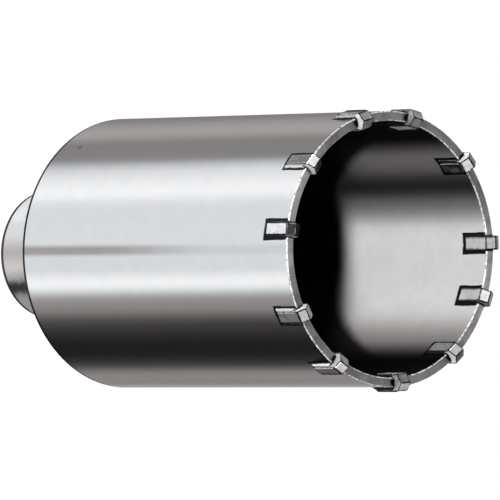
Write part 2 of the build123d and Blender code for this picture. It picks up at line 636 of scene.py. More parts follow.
def mottling_group():
    """Soft clouds, and small sharp specks, between 0 and 1."""
    sizes = [("Cloud size", CLOUD_SIZE), ("Speck size", SPECK_SIZE)]
    group, given, out = new_group("mottling", sizes, ("Clouds", "Specks"))
    for label, size, limits in (("Clouds", "Cloud size", CLOUD_STEP), ("Specks", "Speck size", SPECK_STEP)):
        scaled = add(group, "ShaderNodeVectorMath", operation="SCALE")
        group.links.new(given["Place"], scaled.inputs[0])
        group.links.new(maths(group, "DIVIDE", 1.0, given[size]), scaled.inputs["Scale"])
        group.links.new(step(group, noise(group, scaled.outputs[0]), *limits), out[label])
    return group


MOTTLING = mottling_group()
print("mottling group with", len(MOTTLING.nodes), "nodes")

# %% Helpers for materials
# Colour, roughness and metal of each finish, for a viewer that can't read its node tree
PLAIN_LOOKS = {
    "barrel_steel": (grey(0.7), 0.18, 1.0),
    "hub_steel": (grey(0.66), 0.5, 0.5),
    "weld_metal": (grey(0.4), 0.42, 1.0),
    "carbide": (grey(0.75), 0.25, 1.0),
    "silver_braze": (grey(0.7), 0.25, 1.0),
}
# A quarter turn from along the grooves
ACROSS_THE_GROOVES = 0.25


def finish_material(name):
    """A new material with its plain look, its tree, its shader and the place of a point on the piece."""
    material = bpy.data.materials.new(name)
    material.use_nodes = True
    tree = material.node_tree
    shader = tree.nodes["Principled BSDF"]
    for label, value in zip(("Base Color", "Roughness", "Metallic"), PLAIN_LOOKS[name]):
        shader.inputs[label].default_value = value
    place = add(tree, "ShaderNodeTexCoord").outputs["Object"]
    return material, tree, shader, place


def pattern(tree, group, place, **values):
    """The outputs of one of the shared groups."""
    node = add(tree, "ShaderNodeGroup", node_tree=group)
    feed(tree, place, node.inputs["Place"])
    for name, value in values.items():
        feed(tree, value, node.inputs[name.replace("_", " ")])
    return node.outputs


def lathe_shine(tree, shader, strength):
    """Stretches the shader's highlights across the grooves."""
    shader.inputs["Anisotropic"].default_value = strength
    shader.inputs["Anisotropic Rotation"].default_value = ACROSS_THE_GROOVES
    tangent = add(tree, "ShaderNodeTangent", direction_type="RADIAL", axis="Z")
    tree.links.new(tangent.outputs[0], shader.inputs["Tangent"])


def bump(tree, shader, height, distance):
    """Raises the surface by a height between 0 and 1, times a distance."""
    node = add(tree, "ShaderNodeBump")
    node.inputs["Distance"].default_value = distance
    feed(tree, height, node.inputs["Height"])
    tree.links.new(node.outputs[0], shader.inputs["Normal"])


print("plain looks for", ", ".join(PLAIN_LOOKS))

# %% [markdown]
# ## The barrel's outer wall
# The barrel is a length of tube, turned and rubbed to a satin. Outside, the steel is smooth and nearly even.
# A painted dark reflection runs along the near side as a brown line, strong at the hub end and faint at the
# rim, and it slants a little. There is one pit, and dirt has settled on the last millimetre of the back edge.
# Each of these could be a painted image. Here each is a mask worked out from the place on the tube, so that it
# stays sharp at any distance.

# %% The painted dark reflection and the pit
# A painted dark reflection: a slanted brown line on the near side, strong at the hub end and faint at the rim
DARK_REFLECTION_AT = -1.1 * MM
DARK_REFLECTION_SLANT = 0.0054
DARK_REFLECTION_HALF_WIDTH = 1.85 * MM
DARK_REFLECTION_CORE = 0.2
DARK_REFLECTION_FADES_FROM = 58.0 * MM
DARK_REFLECTION_FADES_TO = 110.0 * MM
DARK_REFLECTION_FAINT = 0.22
DARK_REFLECTION_RAGGEDNESS = 6.0 * MM
PIT_AT = (-26.05 * MM, -20.26 * MM, 37.0 * MM)
PIT_SIZE = 0.8 * MM
PIT_CORE = 0.4


def painted_dark_reflection(tree, spot, clouds):
    """How strong the painted dark reflection shows: a slanted line on the near side, which fades towards the
    rim.
    """
    centre = plus(tree, times(tree, spot.height, DARK_REFLECTION_SLANT), DARK_REFLECTION_AT)
    line = band(tree, times(tree, spot.cosine, spot.radius), centre, DARK_REFLECTION_HALF_WIDTH, DARK_REFLECTION_CORE)
    line = times(tree, line, near_side(tree, spot))
    ragged_height = plus(tree, spot.height, times(tree, clouds, DARK_REFLECTION_RAGGEDNESS))
    return times(tree, line, step(tree, ragged_height, DARK_REFLECTION_FADES_TO, DARK_REFLECTION_FADES_FROM, DARK_REFLECTION_FAINT))


def pit(tree, place):
    """1 in the pit and 0 outside it."""
    away = add(tree, "ShaderNodeVectorMath", operation="DISTANCE")
    tree.links.new(place, away.inputs[0])
    away.inputs[1].default_value = PIT_AT
    return step(tree, away.outputs["Value"], PIT_SIZE, PIT_CORE * PIT_SIZE)


# The width of the painted dark reflection
print("seam", round(2 * DARK_REFLECTION_HALF_WIDTH / MM, 1), "mm wide")

# %% The outer wall
STEEL = grey(0.725)
DARKER_STEEL = grey(0.71, 0.005)
HANDLED = grey(0.98, -0.012)
DARK_REFLECTION_COLOUR = (0.51, 0.475, 0.45, 1.0)
SPECK_COLOUR = grey(0.55, 0.05)
SPECK_STRENGTH = 0.25
PIT_COLOUR = grey(0.5, 0.05)
DIRT_AND_PAINTED_SHADE = grey(0.03)
BACK_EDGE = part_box("barrel")[0].z
BACK_GRIME = 1.15 * MM
GRIME_CORE = 0.8


def outer_wall(tree, place, spot, grain, clouds):
    """Bare steel with a painted dark reflection, specks, one pit and dirt on the back edge."""
    colour = mix(tree, grain["Tone"], DARKER_STEEL, STEEL)
    colour = mix(tree, clouds["Clouds"], colour, multiply(tree, colour, HANDLED))
    colour = multiply(tree, colour, DARK_REFLECTION_COLOUR, painted_dark_reflection(tree, spot, clouds["Clouds"]))
    colour = multiply(tree, colour, SPECK_COLOUR, times(tree, clouds["Specks"], SPECK_STRENGTH))
    colour = multiply(tree, colour, PIT_COLOUR, pit(tree, place))
    grime = step(tree, spot.height, BACK_EDGE + BACK_GRIME, BACK_EDGE + GRIME_CORE * BACK_GRIME)
    return mix(tree, grime, colour, DIRT_AND_PAINTED_SHADE)


print("back edge at", round(BACK_EDGE, 4), "m")

# %% [markdown]
# ## The bore
# Inside, the tube is duller, as it was drawn. Its depth is painted black as shade, which climbs higher up the
# two sides than in the middle, and a dim painted dark reflection runs down the far wall as a streak. The edge
# of the painted shade is a height that grows with the distance to the side, and the slow tone of the grain
# makes it ragged.

# %% Painted shade in the bore
RIM_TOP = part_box("barrel")[1].z
# Below these heights the bore is painted black as shade
DEEP_FROM = RIM_TOP - 49.6 * MM
DEEP_FULL = RIM_TOP - 55.0 * MM
DEEP_RAGGEDNESS = 2.0 * MM
# How high the painted shade climbs at the very side, and how late on the way there it starts to
DEEP_CLIMB = 50.0 * MM
DEEP_CLIMB_POWER = 3.5
# Shares of the radius, sideways, at which the painted shade begins to blacken the bore's sides, and has done so
SIDES_FROM = 0.70
SIDES_FULL = 0.87
# A painted dark reflection: a dim streak down the far wall
STREAK_AT = -0.49
STREAK_HALF_WIDTH = 0.13
STREAK_STRENGTH = 0.65
DRAWN_STEEL = grey(0.69)
CLOUDED_STEEL = grey(0.66, 0.01)
BORE_SPECK_COLOUR = grey(0.4, 0.05)
BORE_SPECK_STRENGTH = 0.35
DEEP_PAINTED_SHADE = grey(0.035, 0.03)


def painted_bore_shade(tree, spot, tone):
    """How dark the painted shade is: full in the depth and up the sides, thinner in the painted dark streak."""
    sideways = maths(tree, "ABSOLUTE", spot.cosine)
    climb = times(tree, maths(tree, "POWER", sideways, DEEP_CLIMB_POWER), DEEP_CLIMB)
    ragged = plus(tree, spot.height, times(tree, tone, DEEP_RAGGEDNESS))
    clean = step(tree, minus(tree, ragged, climb), DEEP_FULL, DEEP_FROM + DEEP_RAGGEDNESS / 2)
    clean = times(tree, clean, step(tree, sideways, SIDES_FULL, SIDES_FROM))
    streak = times(tree, band(tree, spot.cosine, STREAK_AT, STREAK_HALF_WIDTH), STREAK_STRENGTH)
    streak = times(tree, streak, maths(tree, "GREATER_THAN", spot.sine, 0))
    return larger(tree, minus(tree, 1.0, clean), streak)


def bore_wall(tree, spot, grain, clouds):
    """Dull drawn steel with specks, and painted shade in its depth."""
    colour = mix(tree, clouds["Clouds"], DRAWN_STEEL, CLOUDED_STEEL)
    colour = multiply(tree, colour, BORE_SPECK_COLOUR, times(tree, clouds["Specks"], BORE_SPECK_STRENGTH))
    return mix(tree, painted_bore_shade(tree, spot, grain["Tone"]), colour, DEEP_PAINTED_SHADE)


print("oil from", round((RIM_TOP - DEEP_FROM) / MM, 1), "mm below the rim")

# %% [markdown]
# ## Burnt flux and the sawn rim
# Brazing burns its flux to a black glass, which stays as a ragged line round each seam and runs a little
# further below a tip than beside it. The line is found from two distances: how far a place on the wall is
# from the nearest tip's middle, measured round the tube, and how far it is below the tips' feet. The tips
# aren't evenly spaced, so their directions are read from the frame.
#
# The rim itself is sawn and dull, with dark specks in the saw marks. Its two edges carry a dotted painted
# highlight: bright spots, and dark between them.

# %% Flux round each braze
BRAZE_HALF_WIDTH = 2.35 * MM
BRAZE_FOOT = RIM_TOP - 7.65 * MM
# A place below a braze counts as this share of its real distance, because flux runs down
FLUX_RUN = 0.33
FLUX_EDGE = (0.42 * MM, 0.3 * MM)
FLUX_RAGGEDNESS = 0.12 * MM
# Any angle larger than the ones between the tips, in radians
FAR_AWAY = 1.0


def azimuth(node):
    """The direction of a node's middle round Z, in radians."""
    middle = sum((vertex.co for vertex in node.data.vertices), Vector()) / len(node.data.vertices)
    return math.atan2(middle.y, middle.x)


tip_nodes = [node for name, node in sorted(nodes.items()) if name.startswith("carbide_tip")]
tip_azimuths = [azimuth(node) for node in tip_nodes]


def flux_line(tree, spot, clouds):
    """A ragged line of burnt flux on the wall, round the braze of every tip."""
    direction = maths(tree, "ARCTAN2", spot.sine, spot.cosine)
    across = FAR_AWAY
    for tip_azimuth in tip_azimuths:
        turn = maths(tree, "PINGPONG", minus(tree, direction, tip_azimuth), math.pi)
        across = maths(tree, "MINIMUM", turn, across)
    across = minus(tree, times(tree, across, spot.radius), BRAZE_HALF_WIDTH)
    below = times(tree, minus(tree, BRAZE_FOOT, spot.height), FLUX_RUN)
    away = larger(tree, across, below)
    return step(tree, plus(tree, away, times(tree, clouds, FLUX_RAGGEDNESS)), *FLUX_EDGE)


print("tips at", [round(math.degrees(turn) % FULL_TURN, 2) for turn in tip_azimuths], "degrees")

# %% The rim's colours
RIM_FROM = RIM_TOP - 0.36 * MM
RIM_FULL = RIM_TOP - 0.28 * MM
FLAT_FROM = RIM_TOP - 0.08 * MM
FLAT_FULL = RIM_TOP - 0.02 * MM
SAWN = grey(0.42, 0.03)
SAWN_DARK = grey(0.28, 0.03)
# A dotted painted highlight on the rim's two edges: bright spots with dark between
GLINT_SPOT_SIZE = 0.0007
GLINT_GAP_COLOUR = grey(0.18)
PAINTED_GLINT_COLOUR = grey(0.85)


def rim_colour(tree, place, flat, clouds):
    """Sawn steel on the flat of the rim, and a dotted painted highlight on the edges beside it."""
    sawn = mix(tree, clouds["Clouds"], SAWN, SAWN_DARK)
    sawn = mix(tree, clouds["Specks"], sawn, DIRT_AND_PAINTED_SHADE)
    glint_spots = pattern(tree, MOTTLING, place, Cloud_size=GLINT_SPOT_SIZE)
    edge = mix(tree, glint_spots["Clouds"], GLINT_GAP_COLOUR, PAINTED_GLINT_COLOUR)
    return mix(tree, flat, edge, sawn)


print("rim from", round((RIM_TOP - RIM_FROM) / MM, 2), "mm below its top")

# %% [markdown]
# ## The barrel's steel
# The grooves of the outer wall run round the tube, so a light is drawn out along the axis while it stays
# sharp across. That is an anisotropic shader, with its tangent turned round Z. A bump alone can't do it: the
# grooves are finer than the picture's pixels. The parts above are put together by masks: inside or outside by
# radius, and the rim by height.

# %% The barrel's steel
BORE_FROM = 30.9 * MM
BORE_FULL = 30.75 * MM
GRAIN_STEP = (0.3, 0.7)
WALL_ROUGHNESS = (0.172, 0.178)
BORE_DULLER_BY = 0.25
EDGE_ROUGHNESS = 0.42
SAWN_ROUGHNESS = 0.35
EDGE_METALLIC = 0.4
WALL_GROOVE_DEPTH = 0.05e-6
BURNT_FLUX = grey(0.008)


def barrel_steel():
    """Satin tube: turned outside, duller in the bore, and painted black as shade in its depth."""
    material, tree, shader, place = finish_material("barrel_steel")
    lathe_shine(tree, shader, 1.0)
    grain = pattern(tree, TURNED_GRAIN, place)
    clouds = pattern(tree, MOTTLING, place)
    spot = around_axis(tree, place)
    inside = step(tree, spot.radius, BORE_FROM, BORE_FULL)
    rim = step(tree, spot.height, RIM_FROM, RIM_FULL)
    flat = step(tree, spot.height, FLAT_FROM, FLAT_FULL)

    outside = outer_wall(tree, place, spot, grain, clouds)
    walls = mix(tree, inside, outside, bore_wall(tree, spot, grain, clouds))
    walls = mix(tree, flux_line(tree, spot, clouds["Clouds"]), walls, BURNT_FLUX)
    colour = mix(tree, rim, walls, rim_colour(tree, place, flat, clouds))
    tree.links.new(colour, shader.inputs["Base Color"])

    rough = step(tree, grain["Grain"], *GRAIN_STEP, *WALL_ROUGHNESS)
    rough = plus(tree, rough, times(tree, inside, BORE_DULLER_BY))
    rough = mix_value(tree, rim, rough, mix_value(tree, flat, EDGE_ROUGHNESS, SAWN_ROUGHNESS))
    tree.links.new(rough, shader.inputs["Roughness"])
    metallic = mix_value(tree, rim, 1.0, mix_value(tree, flat, EDGE_METALLIC, 1.0))
    tree.links.new(metallic, shader.inputs["Metallic"])
    bump(tree, shader, grain["Grain"], WALL_GROOVE_DEPTH)
    return material


nodes["barrel"].material_slots[0].material = barrel_steel()
print("barrel dressed with", len(bpy.data.materials["barrel_steel"].node_tree.nodes), "nodes")

# %% [markdown]
# ## The hub's thread
# The hub is turned from bar: a boss, a disc that closes the barrel, and a hole tapped M16 right through. The
# frame has the hole as a plain bore, so the hub is remade here with its thread. The Screw modifier could wind
# a profile into a helix, but its ends would have to be cut off and joined to the hub by hand. The thread is a
# rule, so Geometry Nodes make it instead: a flat grid is rolled into a tube whose radius follows the thread's
# profile, which climbs by one pitch a turn, and which opens to a cone at both ends.

# %% Helpers for Geometry Nodes
SAME_PLACE = 1e-6


def new_tree(name, lengths, counts=()):
    """A Geometry Nodes tree with its named inputs and a material, and its two end nodes."""
    tree = bpy.data.node_groups.new(name, "GeometryNodeTree")
    kinds = [("Geometry", "Geometry")] + [(label, "Float") for label in lengths]
    kinds += [(label, "Int") for label in counts] + [("Material", "Material")]
    for label, kind in kinds:
        tree.interface.new_socket(label, in_out="INPUT", socket_type="NodeSocket" + kind)
    tree.interface.new_socket("Geometry", in_out="OUTPUT", socket_type="NodeSocketGeometry")
    return tree, add(tree, "NodeGroupInput").outputs, add(tree, "NodeGroupOutput").inputs


def finish_tree(tree, mesh, given, out):
    """Closes a tree with smooth shading, real instances and its material."""
    smooth = add(tree, "GeometryNodeSetShadeSmooth")
    real = add(tree, "GeometryNodeRealizeInstances")
    paint = add(tree, "GeometryNodeSetMaterial")
    tree.links.new(mesh, smooth.inputs["Geometry"])
    tree.links.new(smooth.outputs[0], real.inputs["Geometry"])
    tree.links.new(real.outputs[0], paint.inputs["Geometry"])
    tree.links.new(given["Material"], paint.inputs["Material"])
    tree.links.new(paint.outputs[0], out["Geometry"])


def plain_mesh(thing, name):
    """What an object's modifiers make of it, as a plain mesh. The object goes."""
    mesh = bpy.data.meshes.new_from_object(thing.evaluated_get(bpy.context.evaluated_depsgraph_get()))
    bpy.data.objects.remove(thing)
    mesh.name = name
    return mesh


def grow(name, tree, values):
    """The plain mesh that a tree makes with these values of its named inputs."""
    seed = put(name + "_seed", bpy.data.meshes.new(name))
    modifier = seed.modifiers.new(name, "NODES")
    modifier.node_group = tree
    for item in tree.interface.items_tree:
        if item.item_type == "SOCKET" and item.in_out == "INPUT" and item.name in values:
            modifier[item.identifier] = values[item.name]
    return plain_mesh(seed, name)


print("points closer than", SAME_PLACE, "m count as one")

# %% A grid rolled into a tube
def rolled_grid(tree, around, along):
    """A unit grid, and how far each of its points is round (0 to 1) and along (0 to 1)."""
    grid = add(tree, "GeometryNodeMeshGrid")
    feed(tree, around, grid.inputs["Vertices X"])
    feed(tree, along, grid.inputs["Vertices Y"])
    x, y, _ = split(tree, add(tree, "GeometryNodeInputPosition").outputs[0])
    return grid.outputs["Mesh"], plus(tree, x, 0.5), plus(tree, y, 0.5)


def rolled_up(tree, mesh, turn, radius, height):
    """The grid's points at their radius and height round Z, with the seam closed."""
    angle = times(tree, turn, 2 * math.pi)
    x = times(tree, radius, maths(tree, "COSINE", angle))
    y = times(tree, radius, maths(tree, "SINE", angle))
    place = add(tree, "GeometryNodeSetPosition")
    tree.links.new(mesh, place.inputs["Geometry"])
    tree.links.new(combine(tree, x, y, height), place.inputs["Position"])
    closed = add(tree, "GeometryNodeMergeByDistance")
    closed.inputs["Distance"].default_value = SAME_PLACE
    tree.links.new(place.outputs[0], closed.inputs["Geometry"])
    return closed.outputs[0]


print("a tube is rolled_grid, then rolled_up")

# %% The tapped thread
MINOR_RADIUS = 13.835 / 2 * MM
MAJOR_RADIUS = 8.0 * MM
PITCH = 2.0 * MM
LEAD = 1.3 * MM
HUB_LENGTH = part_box("hub")[1].z
TURN_SEGMENTS = 128
POINTS_PER_PITCH = 12
# Shares of the pitch that are flat, at the crest of the thread and at its root
CREST_SHARE = 0.25
ROOT_SHARE = 0.125


def thread_tree():
    """A tube whose wall is an internal thread, with a lead chamfer at both ends."""
    lengths = ("Minor radius", "Major radius", "Pitch", "Lead", "Length")
    tree, given, out = new_tree("tapped_thread", lengths, ("Around", "Along"))
    grid, turn, rise = rolled_grid(tree, given["Around"], given["Along"])
    height = times(tree, rise, given["Length"])
    phase = maths(tree, "FRACT", minus(tree, maths(tree, "DIVIDE", height, given["Pitch"]), turn))
    depth = minus(tree, times(tree, gap(tree, phase, 0.5), 2.0), CREST_SHARE)
    depth = maths(tree, "DIVIDE", depth, 1 - CREST_SHARE - ROOT_SHARE, clamp=True)
    full = minus(tree, given["Major radius"], given["Minor radius"])
    radius = plus(tree, given["Minor radius"], times(tree, depth, full))
    mouth = plus(tree, given["Minor radius"], given["Lead"])
    to_back = minus(tree, mouth, height)
    to_front = minus(tree, mouth, minus(tree, given["Length"], height))
    radius = larger(tree, radius, larger(tree, to_back, to_front))
    finish_tree(tree, rolled_up(tree, grid, turn, radius, height), given, out)
    return tree


def thread_mesh(material):
    """The thread of the hub's hole, from back to front."""
    values = {
        "Minor radius": MINOR_RADIUS,
        "Major radius": MAJOR_RADIUS,
        "Pitch": PITCH,
        "Lead": LEAD,
        "Length": HUB_LENGTH,
        "Around": TURN_SEGMENTS + 1,
        "Along": round(HUB_LENGTH / PITCH * POINTS_PER_PITCH) + 1,
        "Material": material,
    }
    return grow("hub_thread", thread_tree(), values)


print("thread of", round(HUB_LENGTH / PITCH, 2), "turns")

# %% [markdown]
# ## The hub's steel
# The boss is painted with light and shade. It has a black painted shade with a thin veil of lighter painted
# shade round it, a faint dark line that continues the barrel's painted dark reflection, and painted light on
# the side of -X, with a warm tint beside it. It has dirt on its back edge. All but the dirt are soft bands by
# compass. Where the hub closes the cup, and in its thread, it is painted dark as shade. The whole is half metal
# in the shader, because an oil film scatters light as well as the steel mirrors it.

# %% Painted shade and light on the boss
# A band's place and half width are cosines of its direction round Z, so +1 is the side of +X
# Painted shade: a black band on the near side with a veil round it, and a faint line in line with the barrel's
# painted dark reflection; painted light: the side of -X
BOSS_SHADE_AT = 0.515
BOSS_SHADE_HALF_WIDTH = 0.11
BOSS_SHADE_EDGE = 0.07
BOSS_SHADE_RAGGEDNESS = 0.03
BOSS_SHADE_STRENGTH = 0.95
SHADE_VEIL_AT = 0.46
SHADE_VEIL_HALF_WIDTH = 0.36
SHADE_VEIL_COLOUR = grey(0.68, 0.02)
BOSS_DARK_REFLECTION_AT = -0.04
BOSS_DARK_REFLECTION_HALF_WIDTH = 0.3
BOSS_DARK_REFLECTION_COLOUR = grey(0.66, 0.02)
PAINTED_LIGHT_FROM = -0.42
PAINTED_LIGHT_FULL = -0.74
PAINTED_LIGHT_COLOUR = grey(0.75, -0.02)
OILY_TINT = (1.05, 1.0, 0.975, 1.0)


def boss_painted_light_and_shade(tree, spot, colour, clouds):
    """The boss's colour with painted light, a warm tint, a painted dark reflection, and painted shade with a
    veil.
    """
    colour = mix(tree, step(tree, spot.cosine, PAINTED_LIGHT_FROM, PAINTED_LIGHT_FULL), colour, PAINTED_LIGHT_COLOUR)
    colour = multiply(tree, colour, OILY_TINT, step(tree, spot.cosine, PAINTED_LIGHT_FROM, 0.0))
    near = near_side(tree, spot)
    stain = band(tree, spot.cosine, BOSS_DARK_REFLECTION_AT, BOSS_DARK_REFLECTION_HALF_WIDTH)
    colour = multiply(tree, colour, BOSS_DARK_REFLECTION_COLOUR, times(tree, stain, near))
    shade_veil = band(tree, spot.cosine, SHADE_VEIL_AT, SHADE_VEIL_HALF_WIDTH)
    colour = multiply(tree, colour, SHADE_VEIL_COLOUR, times(tree, shade_veil, near))
    outside = minus(tree, gap(tree, spot.cosine, BOSS_SHADE_AT), BOSS_SHADE_HALF_WIDTH)
    outside = plus(tree, outside, times(tree, clouds, BOSS_SHADE_RAGGEDNESS))
    boss_shade = times(tree, step(tree, outside, BOSS_SHADE_EDGE, -BOSS_SHADE_EDGE), near)
    return mix(tree, times(tree, boss_shade, BOSS_SHADE_STRENGTH), colour, DIRT_AND_PAINTED_SHADE)


print("boss_shade", round(math.degrees(math.acos(BOSS_SHADE_AT))), "degrees from +X")

# %% The hub's material
HUB_ANISOTROPY = 0.6
HUB_GROOVES_PER_METRE = 2500.0
HUB_CLOUD_SIZE = 0.003
HUB_COLOURS = (grey(0.50, -0.01), grey(0.55, -0.015))
HUB_SPECK_COLOUR = grey(0.7, 0.03)
HUB_SPECK_STRENGTH = 0.4
HUB_ROUGHNESS = (0.44, 0.5)
HUB_GROOVE_DEPTH = 0.8e-6
# Dirt below the first height and outside the last radius; painted shade in the cup and in the thread
DIRT_HEIGHTS = (1.5 * MM, 1.3 * MM)
DIRT_RADII = (15.2 * MM, 15.5 * MM)
CUP_HEIGHTS = (BACK_EDGE + 0.9 * MM, BACK_EDGE + 2.0 * MM)
THREAD_RADII = (8.3 * MM, 7.6 * MM)
THREAD_PAINTED_SHADE = 0.55


def hub_steel():
    """Turned bar, duller than the barrel, with oil and dirt on it."""
    material, tree, shader, place = finish_material("hub_steel")
    lathe_shine(tree, shader, HUB_ANISOTROPY)
    grain = pattern(tree, TURNED_GRAIN, place, Grooves_per_metre=HUB_GROOVES_PER_METRE)
    clouds = pattern(tree, MOTTLING, place, Cloud_size=HUB_CLOUD_SIZE)
    spot = around_axis(tree, place)
    colour = mix(tree, grain["Tone"], *HUB_COLOURS)
    colour = multiply(tree, colour, HUB_SPECK_COLOUR, times(tree, clouds["Specks"], HUB_SPECK_STRENGTH))
    colour = boss_painted_light_and_shade(tree, spot, colour, clouds["Clouds"])
    dirt = times(tree, step(tree, spot.height, *DIRT_HEIGHTS), step(tree, spot.radius, *DIRT_RADII))
    colour = mix(tree, dirt, colour, DIRT_AND_PAINTED_SHADE)
    # Painted shade where the hub closes the cup, and in its thread
    in_thread = times(tree, step(tree, spot.radius, *THREAD_RADII), THREAD_PAINTED_SHADE)
    painted_shade = larger(tree, step(tree, spot.height, *CUP_HEIGHTS), in_thread)
    tree.links.new(mix(tree, painted_shade, colour, DEEP_PAINTED_SHADE), shader.inputs["Base Color"])
    rough = step(tree, grain["Grain"], *GRAIN_STEP, *HUB_ROUGHNESS)
    tree.links.new(rough, shader.inputs["Roughness"])
    bump(tree, shader, grain["Grain"], HUB_GROOVE_DEPTH)
    return material


HUB_STEEL = hub_steel()
print("hub's material with", len(HUB_STEEL.node_tree.nodes), "nodes")

# %% [markdown]
# ## The hub
# The outside is a half section spun round Z, as the lathe makes it. It has as many segments as the thread, so
# the two skins share the rings at both mouths of the hole and close to one. A hub that is cut by a boolean
# would come out with long thin faces there.

# %% The hub's half section
BOSS_RADIUS = 15.75 * MM
BOSS_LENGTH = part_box("barrel")[0].z
BOSS_BACK_CHAMFER = 0.5 * MM
BOSS_ROOT_RADIUS = 1.5 * MM
DISC_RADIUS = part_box("hub")[1].x
DISC_CHAMFER = 0.6 * MM
# The weld's groove takes a third of the barrel's wall
BARREL_WALL = 2.3 * MM
WELD_LEG = BARREL_WALL / 3
ROOT_ARC_POINTS = 7


def hub_outline():
    """The hub's half section as points of radius and height, from the back mouth to the front mouth."""
    mouth = MINOR_RADIUS + LEAD
    across = BOSS_RADIUS + BOSS_ROOT_RADIUS
    up = BOSS_LENGTH - BOSS_ROOT_RADIUS
    turns = [math.pi / 2 * point / (ROOT_ARC_POINTS - 1) for point in range(ROOT_ARC_POINTS)]
    arc = [(across - BOSS_ROOT_RADIUS * math.cos(t), up + BOSS_ROOT_RADIUS * math.sin(t)) for t in turns]
    return [
        (mouth, 0),
        (BOSS_RADIUS - BOSS_BACK_CHAMFER, 0),
        (BOSS_RADIUS, BOSS_BACK_CHAMFER),
        *arc,
        (DISC_RADIUS - WELD_LEG, BOSS_LENGTH),
        (DISC_RADIUS, BOSS_LENGTH + WELD_LEG),
        (DISC_RADIUS, HUB_LENGTH - DISC_CHAMFER),
        (DISC_RADIUS - DISC_CHAMFER, HUB_LENGTH),
        (mouth, HUB_LENGTH),
    ]


def spin(shape, outline, segments):
    """Turns an outline of radius and height round Z into faces."""
    turns = [2 * math.pi * n / segments for n in range(segments)]
    rings = []
    for radius, height in outline:
        rings.append([shape.verts.new((radius * math.cos(t), radius * math.sin(t), height)) for t in turns])
    for low, high in zip(rings, rings[1:]):
        for n in range(segments):
            after = (n + 1) % segments
            shape.faces.new((low[n], low[after], high[after], high[n]))


print("half section of", len(hub_outline()), "points")

# %% Helpers for pieces
SHARP_FROM = 30.0


def join_points(shape):
    """Joins the points that lie in one place."""
    bmesh.ops.remove_doubles(shape, verts=shape.verts, dist=SAME_PLACE)


def face_outwards(shape):
    """Turns all faces outwards, and counts the edges that are left open."""
    bmesh.ops.recalc_face_normals(shape, faces=shape.faces)
    return sum(not edge.is_manifold for edge in shape.edges)


def save_shape(shape, mesh):
    """Writes a shape to a mesh, and lets go of it."""
    shape.to_mesh(mesh)
    shape.free()


def cover(mesh, material):
    """Gives a mesh this one material."""
    mesh.materials.clear()
    mesh.materials.append(material)


def shade_by_angle(mesh):
    """Smooth faces, with the edges that turn far kept sharp."""
    mesh.polygons.foreach_set("use_smooth", [True] * len(mesh.polygons))
    mesh.set_sharp_from_angle(angle=math.radians(SHARP_FROM))


def new_piece(name, mesh, node):
    """A piece that rides on the bit, in place of a node of the frame."""
    piece = put(name, mesh)
    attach(piece, "root")
    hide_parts(node)


print("edges that turn more than", SHARP_FROM, "degrees stay sharp")

# %% The hub, made
def make_hub():
    """The hub with its thread, in place of the frame's plain one."""
    shape = bmesh.new()
    shape.from_mesh(thread_mesh(HUB_STEEL))
    spin(shape, hub_outline(), TURN_SEGMENTS)
    join_points(shape)
    open_edges = face_outwards(shape)
    mesh = bpy.data.meshes.new("tapped_hub")
    save_shape(shape, mesh)
    cover(mesh, HUB_STEEL)
    shade_by_angle(mesh)
    new_piece("tapped_hub", mesh, "hub")
    print("hub with", len(mesh.polygons), "faces,", open_edges, "open edges")


make_hub()

# %% [markdown]
# ## The weld at the back
# A ring of weld holds the disc in the barrel. A welder's bead is a row of overlapping scales, each the edge
# of one molten pool. They could be modelled once and set out along a circle, but they overlap, and the joints
# would show. The scales are a rule as well: the same rolled grid, whose height follows a rounded saw wave
# that runs round the ring, bowed across it. The heat leaves brown and blue tints on the bead.

# %% The weld's ripples
WELD_CROWN = 0.25 * MM
WELD_SCALES = 96
POINTS_PER_SCALE = 12
WELD_AROUND = WELD_SCALES * POINTS_PER_SCALE + 1
WELD_ACROSS = 12
# How far a scale's middle runs ahead of its sides, in scales
SCALE_BOW = 0.7
# A scale's height as a share of the crown: what it has at least, and what the wave adds
SCALE_LEAST = 0.5
SCALE_WAVE = 0.9
# The bead is this much wider and deeper than its groove, so that no gap shows beside it
OVERLAP = 0.04 * MM


def weld_tree():
    """A closed ring: a scaled crown, and a root below it in the groove."""
    tree, given, out = new_tree("weld_ripples", ("Radius", "Back", "Leg", "Crown", "Scales"))
    grid, turn, across = rolled_grid(tree, WELD_AROUND, WELD_ACROSS + 2)
    row = times(tree, across, WELD_ACROSS + 1.0)
    back_again = maths(tree, "GREATER_THAN", row, WELD_ACROSS + 0.5)
    root = minus(tree, maths(tree, "GREATER_THAN", row, WELD_ACROSS - 0.5), back_again)
    crowned = minus(tree, 1.0, root)
    side = maths(tree, "DIVIDE", row, WELD_ACROSS - 1.0, clamp=True)
    side = minus(tree, times(tree, side, 2.0), 1.0)
    side = times(tree, minus(tree, side, times(tree, back_again, 2.0)), crowned)
    bow = minus(tree, 1.0, times(tree, side, side))
    wave = maths(tree, "FRACT", plus(tree, times(tree, turn, given["Scales"]), times(tree, bow, SCALE_BOW)))
    scale = times(tree, minus(tree, 1.0, wave), maths(tree, "SQRT", wave))
    lift = plus(tree, times(tree, scale, SCALE_WAVE), SCALE_LEAST)
    crown = times(tree, times(tree, times(tree, bow, lift), given["Crown"]), crowned)
    radius = plus(tree, given["Radius"], times(tree, side, given["Leg"]))
    height = plus(tree, minus(tree, given["Back"], crown), times(tree, root, given["Leg"]))
    finish_tree(tree, rolled_up(tree, grid, turn, radius, height), given, out)
    return tree


print(WELD_SCALES, "scales, one every", round(2 * math.pi * DISC_RADIUS / WELD_SCALES / MM, 1), "mm")

# %% The weld, made
WELD_ROUGHNESS = (0.35, 0.5)
BROWN_TINT = (0.36, 0.31, 0.25, 1)
BLUE_TINT = (0.27, 0.29, 0.34, 1)
BURNT_SPECK = grey(0.05)
WELD_MOTTLING = {"Cloud_size": 0.0035, "Speck_size": 0.0004}
WELD_BUMP = 4e-6


